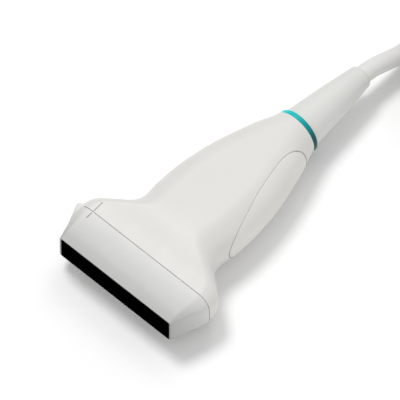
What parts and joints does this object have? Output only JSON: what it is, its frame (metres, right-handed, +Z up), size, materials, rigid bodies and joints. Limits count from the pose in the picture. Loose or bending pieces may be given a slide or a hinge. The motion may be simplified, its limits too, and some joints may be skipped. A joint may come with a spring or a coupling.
{
  "type": "linear array ultrasound probe",
  "caption": "Hand-held flat-headed ultrasound probe with a black lens, a waisted handle, a colour ring, a tapered boot, a coiled cable and a plug with a turning lock.",
  "frame": {"origin": "on the surface the probe lies on, under the middle of the probe's length and width, cable left out", "axes": "+X across the probe's width towards the thumb grip, +Y from the lens to the cable, +Z up from the surface"},
  "size_m": [0.0986, 0.2503, 0.028],
  "materials": {
    "lens_rubber": "matt black silicone",
    "filled_resin": "cast, dull",
    "piezo": "ground",
    "inner_plastic": "moulded",
    "nose_white": "satin moulded",
    "seal_rubber": "soft",
    "shell_white": "satin moulded",
    "grip_white": "soft touch",
    "flex_amber": "film",
    "board_green": "solder mask",
    "wire_sleeve": "bundled fine wires",
    "cable_jacket": "smooth satin jacket",
    "plated_metal": "plated",
    "ring_teal": "coloured through",
    "boot_rubber": "soft satin",
    "strap_fabric": "woven tape",
    "plug_white": "satin moulded",
    "contact_black": "moulded",
    "lever_grey": "moulded"
  },
  "bodies": {
    "probe": {"acoustic_lens": "lens_rubber", "matching_layer": "filled_resin", "piezo_array": "piezo", "backing_block": "filled_resin", "array_frame": "inner_plastic", "nose_cover": "nose_white", "nose_seal": "seal_rubber", "upper_shell": "shell_white", "lower_shell": "shell_white", "thumb_grip": "grip_white", "upper_flex": "flex_amber", "lower_flex": "flex_amber", "termination_board": "board_green", "upper_socket": "inner_plastic", "lower_socket": "inner_plastic", "wire_fan": "wire_sleeve", "cable_inner_end": "cable_jacket", "crimp_collar": "plated_metal", "cable_gland": "inner_plastic", "colour_ring": "ring_teal", "strain_relief": "boot_rubber", "cable": "cable_jacket", "cable_coil": "cable_jacket", "coil_strap": "strap_fabric", "cable_tail": "cable_jacket", "plug_boot": "boot_rubber", "plug_base": "plug_white", "plug_cover": "plug_white", "plug_shroud": "plated_metal", "contact_block": "contact_black", "plug_board": "board_green", "plug_crimp": "plated_metal", "plug_fan": "wire_sleeve", "plug_screws": "plated_metal"},
    "lock": {"lock_shaft": "plated_metal", "lock_tongue": "plated_metal", "lock_lever": "lever_grey"}
  },
  "joints": [
    {"name": "lock_turn", "type": "hinge", "parent": "probe", "child": "lock", "pos_m": [-0.0083, 0.17323, 0.0243], "axis": [0, 0, 1], "range_deg": [0, 90]}
  ]
}
